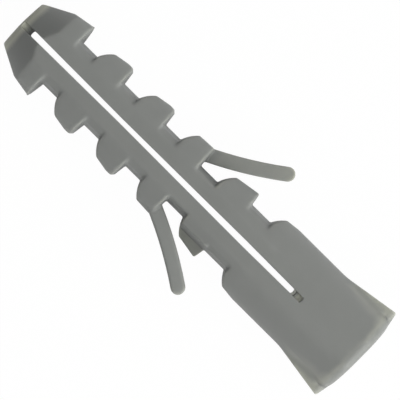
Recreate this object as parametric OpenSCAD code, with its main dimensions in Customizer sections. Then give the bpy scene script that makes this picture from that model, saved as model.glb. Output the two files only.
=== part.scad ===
// Nylon wall plug, moulded in one piece: a round body split along its length,
// with saw-tooth notches on both sides, two springy lugs and two side fins.
// The tip is drawn at x = 0 and the mouth at x = plug_len. At the end the whole
// plug is moved so that its origin is the centre of the screw hole in the mouth.
// The two mould halves meet in the plane z = 0, and the slit lies in the plane y = 0.

/* [Body] */
// Length from the tip to the mouth
plug_len = 40; // [38:0.5:50]
// Diameter of the round body, a tight fit in an 8 mm drilled hole
body_d = 8.15; // [7.8:0.05:8.4]
// Height across the narrow flats that run along the top and the bottom
flat_h = 7.6; // [7.3:0.05:7.8]
// Radius of the rounded edge round the mouth
rim_r = 0.8; // [0.4:0.05:1]

/* [Nose] */
// Length of the steep cone at the tip
cone_len = 2.9; // [2.2:0.1:3.2]
// Length of the part of the nose that the mould narrows at both sides
nose_len = 2.6; // [2:0.1:3.2]
// Width of the blunt end of the tip
tip_w = 4.65; // [4:0.05:5.2]
// Width across the nose where that part ends
nose_w = 7.36; // [7:0.02:7.6]
// Chamfer round the blunt end of the tip
tip_chamfer = 0.3; // [0.1:0.05:0.5]
// Width across the points of the first pair of teeth
first_tooth_w = 8; // [7.6:0.02:8.1]

/* [Teeth] */
// Distance from the tip to the first notch
first_notch_at = 4.7; // [4.4:0.05:5]
// Number of plain notches on each side
notch_count = 3; // [1:1:3]
// Distance from one plain notch to the next
tooth_pitch = 4.95; // [4.6:0.05:5]
// Length of a plain notch at its floor
notch_len = 1.75; // [1.4:0.05:2]
// Width of the core between two plain notches
notch_core_w = 4.9; // [4.5:0.02:5]
// Width across the crests of the teeth
crest_w = 7.74; // [7.5:0.02:7.8]
// Width across the shoulders where the teeth's curved fronts end
shoulder_w = 7.26; // [6.8:0.02:7.4]
// Length of a tooth's curved front
front_len = 0.9; // [0.7:0.05:1.1]
// Radius of the curve of a tooth's front
front_r = 3; // [2:0.1:5]
// Length of the gentle slope between a tooth's shoulder and its crest
slope_len = 1.35; // [1:0.05:1.5]
// Small chamfer at the back of each crest
crest_chamfer = 0.25; // [0.1:0.05:0.4]
// How far a tooth's back face leans from its foot to its crest
back_lean = 0.15; // [0:0.05:0.3]

/* [Lugs] */
// Length at its foot of the tooth that carries a lug
lug_tooth_len = 2.8; // [2.6:0.05:3]
// Width across the shoulders of that tooth
lug_shoulder_w = 7.6; // [7.2:0.02:7.66]
// Length of the notch behind that tooth
lug_notch_len = 1.95; // [1.8:0.05:2.1]
// Width of the core at that notch
lug_core_w = 4.18; // [4.1:0.02:4.4]
// Thickness of a lug
lug_t = 1.26; // [1:0.02:1.3]
// Width of a lug, measured along the slit's depth
lug_w = 2; // [1.6:0.1:2.2]
// Length of a lug from its root to the centre of its rounded end
lug_len = 6.5; // [5.5:0.05:6.6]
// Angle at which the first lug leaves the body
first_lug_angle = 26.5; // [22:0.5:30]
// Angle at which the second lug leaves the body, a little less
second_lug_angle = 24.5; // [22:0.5:30]
// Radius of the outward bow of a lug
lug_bow_r = 37; // [25:1:60]

/* [Guard tooth and neck] */
// Length at its foot of the tooth that the first lug folds onto
guard_tooth_len = 3.45; // [3.2:0.05:3.6]
// Length at its foot of the tooth that the second lug folds onto
second_guard_len = 3.25; // [3.1:0.05:3.6]
// Slope of the ledge in these teeth that lies over a folded lug
seat_slope = 18; // [0:1:25]
// Width across the shoulders of these two teeth
guard_shoulder_w = 6.98; // [6.7:0.02:7.1]
// Length of the notch between the first of them and the neck
neck_notch_len = 2.15; // [1.8:0.05:2.4]
// Width across the neck where its curved front ends
neck_front_w = 7.84; // [7.5:0.02:8]

/* [Side fins] */
// Length of the fins, back from the mouth
fin_len = 5.8; // [4.5:0.1:6.5]
// Width across the fins at the mouth
fin_w = 9.7; // [9:0.02:10]
// How far the fins' ends lean back, from the body to their outer corners
fin_end_lean = 0.3; // [0:0.02:0.5]
// Size of the small cut on those corners
fin_corner = 0.12; // [0.05:0.01:0.4]
// Thickness of a fin
fin_t = 1.8; // [1.5:0.1:2.2]
// Radius of the rounded edges at a fin's end
fin_edge_r = 0.7; // [0.3:0.05:0.7]
// Angle at which the fins flare where they leave the body
fin_flare = 8; // [5:0.5:9]
// Radius of the curve at the root of that flare
fin_flare_r = 5; // [2:0.5:8]

/* [Slit] */
// Width of the slit beside the tip
slit_tip_w = 0.56; // [0.4:0.02:0.8]
// Width of the slit at its narrowest, in the first teeth
slit_waist_w = 0.42; // [0.3:0.01:0.6]
// Width of the slit at its widest, beside the lugs
slit_belly_w = 0.58; // [0.4:0.01:0.7]
// Width of the slit at its closed end
slit_end_w = 0.49; // [0.4:0.01:0.6]
// Length of the slit from the tip, where it goes right through
slit_len = 32.3; // [31:0.1:32.6]
// Length of the blind groove that runs on beyond the slit
slit_groove_len = 0.75; // [0.3:0.05:1]
// Depth of that groove
slit_groove_depth = 0.4; // [0.2:0.05:1]
// Length of the thin web that ties the halves together at the tip
web_len = 0.95; // [0.5:0.05:1.2]
// Height of that web at the blunt end of the tip
web_end_h = 5.4; // [2:0.1:5.4]
// Height of the web at its inner edge
web_inner_h = 4; // [0.8:0.1:4.6]

/* [Screw hole] */
// Diameter of the screw hole in the mouth
hole_d = 4.8; // [4.2:0.1:5]
// Depth of the screw hole's straight part
hole_depth = 8; // [6:0.5:9]
// Length of the taper where the hole narrows to the channel
hole_taper_len = 1.6; // [1:0.1:2.5]
// Diameter of the channel behind the taper
channel_d = 3.2; // [2.8:0.1:3.4]
// Diameter of the channel at its far end, near the tip
channel_end_d = 1.6; // [1.2:0.1:2]
// Distance from the tip to the end of the channel
channel_from = 1.6; // [1.4:0.1:3]
// Depth of the small chamfer round the hole's mouth
mouth_chamfer = 0.25; // [0.1:0.05:0.4]

/* [Mould draft] */
// Draft of the teeth's front and back faces
face_draft = 2; // [1:0.5:4]
// Draft of the floors of the notches
floor_draft = 6; // [4:0.5:7]
// Radius of the rounded rim beside each notch
notch_rim_r = 0.9; // [0.5:0.1:1]

/* [Hidden] */
$fn = 96;
body_r = body_d / 2;
seat_r = body_r - lug_t;
last_notch_at = first_notch_at + (notch_count - 1) * tooth_pitch;
lug_notch_at = last_notch_at + notch_len + lug_tooth_len;
guard_tooth_at = lug_notch_at + lug_notch_len;
neck_front_at = guard_tooth_at + guard_tooth_len + neck_notch_len;
lug_root_at = lug_notch_at + 0.2;
lug_root_r = seat_r + 0.57;
lug_root_grip = 1.3;
slit_waist_at = 11.5;
slit_belly_at = 26.5;
outside = body_r + 2;
past = 1;
overlap = 0.2;
first_chamfer = 0.05;
guard_chamfer = 0.12;
plain_rim = [2.9, 47];
lug_notch_rim = [3, 20];
neck_rim = [2.6, 30];
front_steps = 5;
rim_steps = 5;
flare_steps = 5;

// Points on a circle, from angle a0 to angle a1
function arc(centre, r, a0, a1, steps) =
    [for (i = [0:steps]) let (a = a0 + (a1 - a0) * i / steps) centre + r * [cos(a), sin(a)]];

// Points on the arc of radius r from p to q that bulges to the left of the way from p to q
function arc_between(p, q, r, steps) =
    let (
        half_chord = norm(q - p) / 2,
        along = (q - p) / norm(q - p),
        side = [-along[1], along[0]],
        half_turn = asin(half_chord / r),
        centre = (p + q) / 2 - side * r * cos(half_turn),
        middle = atan2(side[1], side[0])
    )
    arc(centre, r, middle + half_turn, middle - half_turn, steps);

// A bar of the given height along the plug, with its end at the mouth rounded to radius r
module rounded_bar(height, r) {
    rotate([90, 0, 0])
    linear_extrude(2 * outside, center = true) {
        translate([-past, -height / 2]) square([plug_len - r + past, height]);
        translate([0, r - height / 2]) square([plug_len, height - 2 * r]);
        for (side = [-1, 1]) translate([plug_len - r, side * (height / 2 - r)]) circle(r);
    }
}

// Round body with its nose cone, its two flats and the rounded edge of the mouth
module round_body() {
    nose_rise = (nose_w - tip_w) / 2;
    cone_at_end_r = body_r - nose_rise;
    cone_from_r = cone_at_end_r + tip_chamfer * nose_rise / cone_len;
    intersection() {
        rotate([90, 0, 90])
        rotate_extrude() {
            polygon([
                [0, 0], [cone_at_end_r - tip_chamfer, 0], [cone_from_r, tip_chamfer],
                [body_r, cone_len], [body_r, plug_len - rim_r],
                [body_r - rim_r, plug_len], [0, plug_len]
            ]);
            translate([body_r - rim_r, plug_len - rim_r]) circle(rim_r);
        }
        rounded_bar(flat_h, rim_r);
    }
}

// The two flat fins beside the mouth, which keep the plug from turning
module side_fins() {
    root_x = plug_len - fin_len;
    end_x = plug_len - fin_end_lean;
    flare = arc([root_x, body_r + fin_flare_r], fin_flare_r, -90, fin_flare - 90, flare_steps);
    intersection() {
        linear_extrude(2 * outside, center = true)
        for (side = [0, 1])
            mirror([0, side])
            polygon(concat(
                [[root_x, seat_r]], flare,
                [[end_x - fin_corner, fin_w / 2], [end_x, fin_w / 2 - fin_corner]],
                [[plug_len, body_r - rim_r], [plug_len, seat_r]]
            ));
        rounded_bar(fin_t, fin_edge_r);
    }
}

// What the mould takes away beside the nose, so that it narrows to the tip
module nose_trim() {
    tooth_end = first_notch_at - 2 * back_lean;
    linear_extrude(2 * outside, center = true)
    polygon([
        [-past, tip_w / 2], [0, tip_w / 2], [nose_len, nose_w / 2],
        [tooth_end, first_tooth_w / 2], [tooth_end, outside], [-past, outside]
    ]);
}

// Plan of one notch, with the front, the slope and the crest of the tooth after it
module notch_plan(length, core_w, tooth_len, front_w, slope, after_w, chamfer) {
    front = arc_between(
        [length, core_w / 2], [length + front_len, front_w / 2], front_r, front_steps
    );
    crest_from = length + front_len + slope;
    crest_to = length + tooth_len;
    polygon(concat(
        [[0, 0], [0, core_w / 2], [-back_lean, crest_w / 2 - chamfer]],
        [[-back_lean - chamfer, crest_w / 2], [-back_lean - chamfer, outside]],
        [[crest_to, outside], [crest_to, after_w / 2], [crest_from, after_w / 2]],
        [for (i = [front_steps : -1 : 0]) front[i]],
        [[length, 0]]
    ));
}

// Section of what is cut beside a core: a drafted floor up to the height rim[0],
// then a rounded rim that turns to the angle rim[1]
module core_section(core_w, rim) {
    rim_z = rim[0];
    rim_turn = rim[1];
    rim_from = [core_w / 2 - rim_z * tan(floor_draft), rim_z];
    centre = rim_from - notch_rim_r * [cos(floor_draft), sin(floor_draft)];
    curve = arc(centre, notch_rim_r, floor_draft, rim_turn, rim_steps);
    rim_out = curve[rim_steps] + outside * [-sin(rim_turn), cos(rim_turn)];
    for (side = [0, 1])
        mirror([0, side])
        polygon(concat(
            [[core_w / 2, 0]], curve, [rim_out, [outside, rim_out[1]], [outside, 0]]
        ));
}

// One notch: its plan, drafted both ways from the parting plane, above the core
module notch(at, length, core_w, rim, tooth_len, front_w, slope, after_w, chamfer) {
    translate([at, 0, 0])
    intersection() {
        for (tilt = [-face_draft, face_draft])
            translate([length / 2, 0, 0])
            rotate([0, tilt, 0])
            translate([-length / 2, 0, 0])
            linear_extrude(3 * outside, center = true)
            notch_plan(length, core_w, tooth_len, front_w, slope, after_w, chamfer);
        translate([-past, 0, 0])
        rotate([90, 0, 90])
        linear_extrude(length + tooth_len + 2 * past)
        core_section(core_w, rim);
    }
}

// Recess in one half of the guard tooth, where the lug in front of it folds in
module lug_seat() {
    depth = outside * tan(floor_draft);
    ledge_end = (outside - seat_r) * tan(seat_slope);
    translate([guard_tooth_at - overlap, 0, 0])
    rotate([90, 0, 90])
    linear_extrude(guard_tooth_len + 2 * overlap)
    polygon([[seat_r, 0], [outside, ledge_end], [outside, -outside], [seat_r - depth, -outside]]);
}

// Everything that the mould takes away on one side of the plug
module side_cuts(guard_len) {
    neck_notch_at = guard_tooth_at + guard_len;
    nose_trim();
    for (i = [0 : notch_count - 1])
        notch(
            first_notch_at + i * tooth_pitch, notch_len, notch_core_w, plain_rim,
            i == notch_count - 1 ? lug_tooth_len : tooth_pitch - notch_len,
            i == notch_count - 1 ? lug_shoulder_w : shoulder_w,
            slope_len, crest_w, i == 0 ? first_chamfer : crest_chamfer
        );
    notch(
        lug_notch_at, lug_notch_len, lug_core_w, lug_notch_rim,
        guard_len, guard_shoulder_w, guard_len - front_len - back_lean, crest_w, 0
    );
    notch(
        neck_notch_at, neck_front_at - neck_notch_at, 2 * seat_r, neck_rim,
        front_len + slope_len, neck_front_w, slope_len, body_d, guard_chamfer
    );
    lug_seat();
}

// One lug: a bowed strip with a round end, on the far side of the parting plane
module lug(angle) {
    centre = [lug_root_at, lug_root_r] + lug_bow_r * [-sin(angle), cos(angle)];
    sweep = lug_len / lug_bow_r * 180 / PI;
    grip = lug_root_grip / lug_bow_r * 180 / PI;
    root_a = angle - 90 - grip;
    end_a = angle - 90 + sweep;
    far = 2 * lug_bow_r;
    translate([0, 0, -lug_w])
    linear_extrude(lug_w) {
        intersection() {
            translate(centre)
            difference() {
                circle(lug_bow_r + lug_t / 2, $fn = 360);
                circle(lug_bow_r - lug_t / 2, $fn = 360);
            }
            polygon([
                centre, centre + far * [cos(root_a), sin(root_a)], centre + far * [cos(end_a), sin(end_a)]
            ]);
        }
        translate(centre + lug_bow_r * [cos(end_a), sin(end_a)]) circle(lug_t / 2);
    }
}

// Half of the slit's plan, from its middle line outwards
module slit_half_plan() {
    groove_end = slit_len + slit_groove_len;
    polygon([
        [-past, -overlap], [-past, slit_tip_w / 2], [web_len, slit_tip_w / 2],
        [slit_waist_at, slit_waist_w / 2], [slit_belly_at, slit_belly_w / 2],
        [slit_len, slit_end_w / 2], [groove_end, slit_end_w / 2], [groove_end, -overlap]
    ]);
}

// The slit that lets the two halves spread, less the web at the tip, with the
// blind groove that runs on beyond it at the top and at the bottom
module slit() {
    groove_z = flat_h / 2 - slit_groove_depth;
    intersection() {
        linear_extrude(2 * outside, center = true)
        for (side = [0, 1]) mirror([0, side]) slit_half_plan();
        rotate([90, 0, 0])
        linear_extrude(2 * body_d, center = true)
        difference() {
            translate([-past / 2, -outside]) square([plug_len, 2 * outside]);
            translate([slit_len, -groove_z]) square([plug_len, 2 * groove_z]);
            polygon([
                [0, -web_end_h / 2], [web_len, -web_inner_h / 2],
                [web_len, web_inner_h / 2], [0, web_end_h / 2]
            ]);
        }
    }
}

// The screw hole and the tapering channel that a screw drives apart
module screw_hole() {
    taper_end = plug_len - hole_depth - hole_taper_len;
    rotate([90, 0, 90])
    rotate_extrude()
    polygon([
        [0, channel_from], [channel_end_d / 2, channel_from + channel_end_d / 4],
        [channel_d / 2, taper_end], [hole_d / 2, plug_len - hole_depth],
        [hole_d / 2, plug_len - mouth_chamfer],
        [hole_d / 2 + mouth_chamfer + past, plug_len + past], [0, plug_len + past]
    ]);
}

module wall_plug() {
    color([0.49, 0.5, 0.48])
    translate([-plug_len, 0, 0])
    difference() {
        union() {
            difference() {
                union() {
                    round_body();
                    side_fins();
                }
                side_cuts(guard_tooth_len);
                rotate([180, 0, 0]) side_cuts(second_guard_len);
            }
            lug(first_lug_angle);
            rotate([180, 0, 0]) lug(second_lug_angle);
        }
        slit();
        screw_hole();
    }
}

wall_plug();
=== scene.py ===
from math import radians

import bmesh
import bpy
import numpy as np
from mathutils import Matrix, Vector
from mathutils.bvhtree import BVHTree


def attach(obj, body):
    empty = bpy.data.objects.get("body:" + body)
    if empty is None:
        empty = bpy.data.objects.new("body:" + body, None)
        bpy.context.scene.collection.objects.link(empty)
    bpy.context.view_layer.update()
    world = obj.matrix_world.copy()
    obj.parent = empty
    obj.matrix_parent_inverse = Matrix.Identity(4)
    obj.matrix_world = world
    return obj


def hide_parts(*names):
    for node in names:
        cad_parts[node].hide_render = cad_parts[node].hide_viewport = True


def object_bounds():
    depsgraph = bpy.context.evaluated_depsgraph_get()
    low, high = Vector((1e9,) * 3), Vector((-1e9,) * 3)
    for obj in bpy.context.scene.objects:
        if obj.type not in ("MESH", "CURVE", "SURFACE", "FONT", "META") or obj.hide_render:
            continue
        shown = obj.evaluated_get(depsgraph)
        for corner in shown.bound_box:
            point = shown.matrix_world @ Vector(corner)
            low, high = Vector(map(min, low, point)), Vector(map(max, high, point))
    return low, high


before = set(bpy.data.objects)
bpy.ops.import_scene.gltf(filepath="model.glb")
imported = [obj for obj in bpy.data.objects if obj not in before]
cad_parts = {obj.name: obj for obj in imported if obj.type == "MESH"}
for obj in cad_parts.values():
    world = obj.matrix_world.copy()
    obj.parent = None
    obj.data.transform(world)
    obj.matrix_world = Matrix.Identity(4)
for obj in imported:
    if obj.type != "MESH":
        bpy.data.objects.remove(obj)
cad_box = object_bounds()


# The plug is one piece of nylon, moulded between two mould halves that meet at
# its middle height. The solid is wrapped in a fine even skin here and its edges
# are eased, most of all on the faces that the mould cuts across.
MM = 0.001


def whole_mesh(obj):
    """The shape of obj with its modifiers, as a mesh of its own."""
    view = bpy.context.evaluated_depsgraph_get()
    return bpy.data.meshes.new_from_object(obj.evaluated_get(view))


def take_shape(obj, modifier_type, **settings):
    """Puts one modifier on obj and keeps the shape that it makes."""
    modifier = obj.modifiers.new(modifier_type.lower(), modifier_type)
    for name, value in settings.items():
        setattr(modifier, name, value)
    made = whole_mesh(obj)
    obj.modifiers.clear()
    old = obj.data
    obj.data = made
    bpy.data.meshes.remove(old)


def corners(mesh):
    """The places of the mesh's corners, one row for each."""
    co = np.empty(len(mesh.vertices) * 3, np.float32)
    mesh.vertices.foreach_get("co", co)
    return co.reshape(-1, 3).astype(float)


def even_out(mesh, values, passes, share):
    """Draws the value at each corner towards the mean of its neighbours', by its share."""
    ends = np.empty(len(mesh.edges) * 2, np.int32)
    mesh.edges.foreach_get("vertices", ends)
    a, b = ends.reshape(-1, 2).T
    start, end = np.concatenate([a, b]), np.concatenate([b, a])
    moving = np.flatnonzero(share)
    place = np.full(len(values), -1)
    place[moving] = np.arange(len(moving))
    used = place[start] >= 0
    start, end = place[start[used]], end[used]
    count = np.bincount(start, minlength=len(moving))
    values = values.copy()
    for _ in range(passes):
        mean = np.bincount(start, values[end], len(moving)) / count
        values[moving] += share[moving] * (mean - values[moving])
    return values


def eased(mesh, share, passes):
    """The corners' places once each has moved towards the middle of its neighbours."""
    return np.stack([even_out(mesh, axis, passes, share) for axis in corners(mesh).T], 1)


def ease(mesh, share, passes):
    """Eases a surface where share is over 0, and most where it is 1."""
    place = eased(mesh, 0.5 * share, passes)
    mesh.vertices.foreach_set("co", place.astype(np.float32).ravel())
    mesh.update()


def ramp(values, start, length):
    """0 up to start, and 1 from start + length on; a negative length runs the other way."""
    return np.clip((values - start) / length, 0, 1)


# The skin is made and worked on in millimetres.
WELD_MM = 0.0005
SKIN_MM = 0.06
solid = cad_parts["wall_plug"]
plug = bpy.data.objects.new("moulded_plug", solid.data.copy())
bpy.context.scene.collection.objects.link(plug)
weld = bmesh.new()
weld.from_mesh(plug.data)
bmesh.ops.scale(weld, vec=Vector((1, 1, 1)) / MM, verts=weld.verts)
bmesh.ops.remove_doubles(weld, verts=weld.verts, dist=WELD_MM)
weld.to_mesh(plug.data)
weld.free()
take_shape(plug, "REMESH", mode="VOXEL", voxel_size=SKIN_MM, adaptivity=0)

# The rims of the notches, the nose and the mouth are rounded. The walls near the
# middle height and beside the slit stay crisp.
MIDDLE_KEEP_MM = 1
MIDDLE_FADE_MM = 1
SLIT_KEEP_MM = 0.45
SLIT_FADE_MM = 0.5
CRISP = 0.06
EASE_PASSES = 28
x, y, z = corners(plug.data).T
off_middle = ramp(np.abs(z), MIDDLE_KEEP_MM, MIDDLE_FADE_MM)
off_slit = ramp(np.abs(y), SLIT_KEEP_MM, SLIT_FADE_MM)
ease(plug.data, CRISP + (1 - CRISP) * off_middle * off_slit, EASE_PASSES)

# Round the neck the flats and the fins flow into the round body.
NECK_FROM_MM = -12
NECK_FADE_MM = 0.8
MOUTH_KEEP_MM = 0.9
OUTER_MM = 3.3
FIN_KEEP_MM = 4.35
FIN_FADE_MM = 0.25
SEAM_KEEP_MM = 0.3
SEAM_FADE_MM = 0.4
SLIT_END_MM = -6.8
NECK_PASSES = 220
x, y, z = corners(plug.data).T
on_neck = ramp(x, NECK_FROM_MM, NECK_FADE_MM) * ramp(x, -MOUTH_KEEP_MM, -NECK_FADE_MM)
on_neck *= np.hypot(y, z) > OUTER_MM
on_neck *= ramp(np.abs(y), FIN_KEEP_MM, -FIN_FADE_MM)
on_neck *= ramp(np.abs(z), SEAM_KEEP_MM, SEAM_FADE_MM)
off_slit = ramp(np.abs(y), SLIT_KEEP_MM, SLIT_FADE_MM)
past_slit = ramp(x, SLIT_END_MM, SLIT_FADE_MM)
ease(plug.data, on_neck * np.maximum(off_slit, past_slit), NECK_PASSES)

SKIN_TRIANGLES = 190000
made_triangles = 2 * len(plug.data.polygons)
kept = min(1, SKIN_TRIANGLES / made_triangles)
take_shape(plug, "DECIMATE", ratio=kept, use_collapse_triangulate=True)

# How thick the nylon is behind each corner. Only the lugs, the fins and the points of the
# teeth count as thin:
# behind them the way out is short and then free. The thin places are painted paler: painted
# light for light shining through thin nylon.
START_MM = 0.02
THICK_MM = 3.5
BEYOND_MM = 9
THIN_PASSES = 6
skin = bmesh.new()
skin.from_mesh(plug.data)
skin.normal_update()
inside = BVHTree.FromBMesh(skin)
depth = np.empty(len(skin.verts))
for i, corner in enumerate(skin.verts):
    inward = -corner.normal
    hit = inside.ray_cast(corner.co + inward * START_MM, inward, THICK_MM)
    if hit[0] is None or inside.ray_cast(hit[0] + inward * START_MM, inward, BEYOND_MM)[0]:
        depth[i] = THICK_MM
    else:
        depth[i] = hit[3]
half = np.full(len(depth), 0.5)
thin = even_out(plug.data, 1 - depth / THICK_MM, THIN_PASSES, half)

# Painted highlight: outer edges are painted paler, by how far the edge stands out over the
# same surface with its edges eased away. This stands in for light that catches the edges and
# shines through them.
EDGE_PASSES = 80
EDGE_OFF_MM = 0.9
EDGE_SHARE = 0.35
outward = np.array([corner.normal for corner in skin.verts])
place = corners(plug.data)
painted_light = np.sum((place - eased(plug.data, half, EDGE_PASSES)) * outward, 1)
x, y, z = place.T
aside, high = np.abs(y), np.abs(z)
painted_light *= EDGE_SHARE * ramp(aside, EDGE_OFF_MM, EDGE_OFF_MM)

# Painted light too: the blunt end of the tip and the fins with their roots are painted paler,
# for light on the tip and through the fins.
TIP_FROM_MM = -39.1
TIP_FADE_MM = 0.6
TIP_PALE = 0.32
FIN_FROM_MM = -5.5
FIN_RISE_MM = 1
FIN_TO_MM = -0.2
FIN_FALL_MM = 0.8
FIN_ROOT_MM = 3.95
SIDE_FROM_MM = 2.6
SIDE_FADE_MM = 1
SIDE_SHARE = 0.72
FIN_PALE = 0.105
painted_light += TIP_PALE * ramp(x, TIP_FROM_MM, -TIP_FADE_MM)
beside_fin = ramp(aside, SIDE_FROM_MM, SIDE_FADE_MM) * SIDE_SHARE
on_fin = np.maximum(ramp(aside, FIN_ROOT_MM, FIN_FADE_MM), beside_fin)
on_fin *= ramp(x, FIN_FROM_MM, FIN_RISE_MM) * ramp(x, FIN_TO_MM, -FIN_FALL_MM)
painted_light += FIN_PALE * on_fin

# Painted light: the closed end of the slit is painted near white and given a faint glow, and
# the blind groove that runs on beyond it is painted paler, most of all where it stops, for
# light that shines through the nylon into the slit.
SLIT_PALE_FROM_MM = -9.5
SLIT_PALE_TO_MM = -7.52
SLIT_SIDE_MM = 0.62
GROOVE_TO_MM = -6.2
GROOVE_FLOOR_MM = 3.25
GROOVE_TOP_MM = 3.6
GROOVE_PALE = 0.07
STOP_FROM_MM = -7.22
STOP_SIDE_MM = 0.3
STOP_TOP_MM = 3.72
STOP_PALE = 0.7
in_slit_end = (x > SLIT_PALE_FROM_MM) & (aside < SLIT_SIDE_MM)
painted_light[in_slit_end & (x < GROOVE_TO_MM) & (high < GROOVE_TOP_MM)] = GROOVE_PALE
at_stop = (x > STOP_FROM_MM) & (x < GROOVE_TO_MM) & (aside < STOP_SIDE_MM)
painted_light[at_stop & (high > GROOVE_FLOOR_MM) & (high < STOP_TOP_MM)] = STOP_PALE
painted_light[in_slit_end & (x < SLIT_PALE_TO_MM) & (high < GROOVE_FLOOR_MM)] = 1

# A narrow band round the mouth is painted paler, just behind its rounded rim: a painted
# highlight where the rim catches the lamps.
RIM_FROM_MM = -1.35
RIM_TO_MM = -0.45
RIM_FADE_MM = 0.4
RIM_PALE = 0.062
painted_light += RIM_PALE * ramp(x, RIM_FROM_MM, RIM_FADE_MM) * ramp(x, RIM_TO_MM, -RIM_FADE_MM)

bmesh.ops.scale(skin, vec=Vector((1, 1, 1)) * MM, verts=skin.verts)
skin.to_mesh(plug.data)
skin.free()
plug.data.shade_smooth()
for name, values in (("thin", thin), ("edge", painted_light)):
    layer = plug.data.attributes.new(name, "FLOAT", "POINT")
    layer.data.foreach_set("value", values.astype(np.float32))

# The nylon is grey right through, matte with a soft sheen and a very fine grain.
NYLON_COLOUR = (0.2, 0.207, 0.2, 1)
# Painted light: the paler colour that the thin places are drawn to, for light shining through
# thin nylon.
THIN_GLOW_COLOUR = (0.23, 0.238, 0.23, 1)
# Painted highlight: the paler colour for the outer edges, the tip, the fins, the groove and
# the mouth's rim.
PAINTED_LIGHT_COLOUR = (0.38, 0.385, 0.33, 1)
# Painted glow: the near white that the slit's closed end is painted, for light shining through
# the nylon.
PAINTED_GLOW_COLOUR = (0.75, 0.76, 0.72, 1)
DARK = (0, 0, 0, 1)
# Painted glow: the faint light given off where the slit's end is painted near white; the plug
# is no lamp.
THROUGH_LIGHT = (0.13, 0.132, 0.122, 1)
GRAIN_MM = 0.012
SHINE_THROUGH_MM = 0.9
nylon = bpy.data.materials.new("grey_nylon")
nylon.use_nodes = True
nodes, links = nylon.node_tree.nodes, nylon.node_tree.links
shader = nodes["Principled BSDF"]


def add(kind, **settings):
    """A new node of that kind, with its settings and its sockets' plain values."""
    node = nodes.new(kind)
    for name, value in settings.items():
        if name in node.inputs:
            node.inputs[name].default_value = value
        else:
            setattr(node, name, value)
    return node


def stretch(value, from_range, to_range=(0, 1), interpolation_type="LINEAR"):
    """Turns one range of a value into another, and stops at the ends."""
    node = add("ShaderNodeMapRange", interpolation_type=interpolation_type)
    for name, span in (("From", from_range), ("To", to_range)):
        node.inputs[name + " Min"].default_value = span[0]
        node.inputs[name + " Max"].default_value = span[1]
    links.new(value, node.inputs["Value"])
    return node.outputs["Result"]


def tinted(share, plain, tint):
    """The plain colour, which may come from a node, drawn to the tint by the share."""
    node = add("ShaderNodeMix", data_type="RGBA")
    node.inputs["B"].default_value = tint
    if isinstance(plain, tuple):
        node.inputs["A"].default_value = plain
    else:
        links.new(plain, node.inputs["A"])
    links.new(share, node.inputs["Factor"])
    return node.outputs["Result"]


spot = add("ShaderNodeTexCoord").outputs["Object"]
cloud = add("ShaderNodeTexNoise", Scale=260, Detail=3)
grain = add("ShaderNodeTexNoise", Scale=5200, Detail=2)
for noise in (cloud, grain):
    links.new(spot, noise.inputs["Vector"])
thinness = add("ShaderNodeAttribute", attribute_name="thin").outputs["Fac"]
edge = add("ShaderNodeAttribute", attribute_name="edge").outputs["Fac"]
# Painted light: the thin places are drawn paler, standing in for light that shines through the
# nylon.
colour = tinted(stretch(thinness, (0.1, 0.6), (0, 1), "SMOOTHSTEP"), NYLON_COLOUR, THIN_GLOW_COLOUR)
# Painted highlight: edges, tip, fins, groove and rim are drawn towards the paler colour.
colour = tinted(stretch(edge, (0.03, 0.25)), colour, PAINTED_LIGHT_COLOUR)
# Painted glow: where the slit's end is painted, the colour is drawn to near white.
painted_glow = stretch(edge, (0.6, 1))
colour = tinted(painted_glow, colour, PAINTED_GLOW_COLOUR)
cloudy = add("ShaderNodeVectorMath", operation="SCALE")
links.new(colour, cloudy.inputs[0])
links.new(stretch(cloud.outputs["Fac"], (0.3, 0.7), (0.975, 1.025)), cloudy.inputs["Scale"])
links.new(cloudy.outputs["Vector"], shader.inputs["Base Color"])
sheen = stretch(cloud.outputs["Fac"], (0.3, 0.7), (0.46, 0.54))
links.new(sheen, shader.inputs["Roughness"])
# Painted glow: the painted slit end also gives off a faint light, standing in for light
# shining through the nylon.
links.new(tinted(painted_glow, DARK, THROUGH_LIGHT), shader.inputs["Emission Color"])
rough = add("ShaderNodeBump", Strength=0.35, Distance=GRAIN_MM * MM)
links.new(grain.outputs["Fac"], rough.inputs["Height"])
links.new(rough.outputs["Normal"], shader.inputs["Normal"])
for name, value in (
    ("Emission Strength", 1),
    ("IOR", 1.53),
    ("Specular IOR Level", 0.3),
    ("Subsurface Weight", 0.3),
    ("Subsurface Scale", SHINE_THROUGH_MM * MM),
    ("Subsurface Radius", (1, 1, 0.9)),
):
    shader.inputs[name].default_value = value
plug.data.materials.clear()
plug.data.materials.append(nylon)
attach(plug, "root")
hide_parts("wall_plug")


# The table is white paper. The plug lies on the narrow flat of its lower side,
# and the paper shows as plain white in the picture, with the faint shadow on it.
TABLE_HALF = 0.6
PAPER_COLOUR = (0.85, 0.85, 0.85, 1)
PAPER_SHINE = 0.3
PAPER_GLOW = 0.98
table_z = cad_box[0][2]
paper_mesh = bpy.data.meshes.new("paper")
sides = ((-1, -1), (1, -1), (1, 1), (-1, 1))
paper_corners = [(u * TABLE_HALF, v * TABLE_HALF, table_z) for u, v in sides]
paper_mesh.from_pydata(paper_corners, [], [(0, 1, 2, 3)])
paper = bpy.data.objects.new("paper", paper_mesh)
bpy.context.scene.collection.objects.link(paper)
paper_look = bpy.data.materials.new("white_paper")
paper_look.use_nodes = True
nodes, links = paper_look.node_tree.nodes, paper_look.node_tree.links
nodes.clear()
matt = add("ShaderNodeBsdfDiffuse", Color=PAPER_COLOUR)
glow = add("ShaderNodeEmission")
rays = add("ShaderNodeLightPath")
seen = add("ShaderNodeMath", operation="MAXIMUM")
links.new(rays.outputs["Is Camera Ray"], seen.inputs[0])
links.new(rays.outputs["Is Transmission Ray"], seen.inputs[1])
paper_mix = add("ShaderNodeMixShader")
links.new(stretch(seen.outputs[0], (0, 1), (PAPER_SHINE, PAPER_GLOW)), paper_mix.inputs[0])
links.new(matt.outputs[0], paper_mix.inputs[1])
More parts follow.
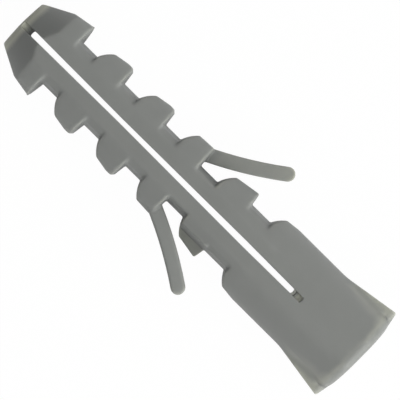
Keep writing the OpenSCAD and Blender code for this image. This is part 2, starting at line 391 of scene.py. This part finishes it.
links.new(glow.outputs[0], paper_mix.inputs[2])
links.new(paper_mix.outputs[0], add("ShaderNodeOutputMaterial").inputs["Surface"])
paper.data.materials.append(paper_look)


# The light is a bright room, brighter towards the mouth, with two wide soft lamps
# beyond the mouth, one low and one high, which pick out the mouth's rounded rim.
ROOM_LIGHT = 0.722
ROOM_LEAN = (1.25, 0.06, 0)
room = bpy.data.worlds.new("room")
room.use_nodes = True
nodes, links = room.node_tree.nodes, room.node_tree.links
towards = add("ShaderNodeTexCoord").outputs["Generated"]
lean = add("ShaderNodeVectorMath", operation="DOT_PRODUCT")
lean.inputs[1].default_value = ROOM_LEAN
level = add("ShaderNodeMath", operation="MULTIPLY_ADD")
level.inputs[1].default_value = ROOM_LIGHT
level.inputs[2].default_value = ROOM_LIGHT
lit = add("ShaderNodeMath", operation="MAXIMUM")
lit.inputs[1].default_value = 0
links.new(towards, lean.inputs[0])
links.new(lean.outputs["Value"], level.inputs[0])
links.new(level.outputs[0], lit.inputs[0])
links.new(lit.outputs[0], nodes["Background"].inputs["Strength"])
nodes["Background"].inputs["Color"].default_value = (1, 1, 1, 1)
bpy.context.scene.world = room
LAMP_SIDE = 0.12
LAMP_WATTS = 0.2
LAMP_COLOUR = (1, 1, 0.94)
LAMP_AIM = Vector((-0.02, 0, 0))
for name, lamp_at in (
    ("mouth_lamp", Vector((0.20, 0.025, 0.075))),
    ("high_lamp", Vector((0.16, 0.03, 0.19))),
):
    lamp_light = bpy.data.lights.new(name, "AREA")
    lamp_light.size = LAMP_SIDE
    lamp_light.energy = LAMP_WATTS
    lamp_light.color = LAMP_COLOUR
    lamp = bpy.data.objects.new(name, lamp_light)
    lamp.location = lamp_at
    lamp.rotation_euler = (LAMP_AIM - lamp_at).to_track_quat("-Z", "Y").to_euler()
    bpy.context.scene.collection.objects.link(lamp)


# The camera looks straight down from a hand's length above, turned so that the
# plug runs from the upper left to the lower right.
PICTURE_PX = 400
PX_PER_MM = 11.79
SENSOR_MM = 36
CAMERA_OVER = (-0.01888, -0.000035)
CAMERA_UP = 0.260
TURN = radians(44.8)
camera_data = bpy.data.cameras.new("camera")
camera_data.sensor_width = SENSOR_MM
camera_data.lens = PX_PER_MM * CAMERA_UP / MM * SENSOR_MM / PICTURE_PX
camera = bpy.data.objects.new("camera", camera_data)
camera.location = (*CAMERA_OVER, CAMERA_UP)
camera.rotation_euler = (0, 0, TURN)
bpy.context.scene.collection.objects.link(camera)
bpy.context.scene.camera = camera
bpy.context.scene.view_settings.view_transform = "Standard"
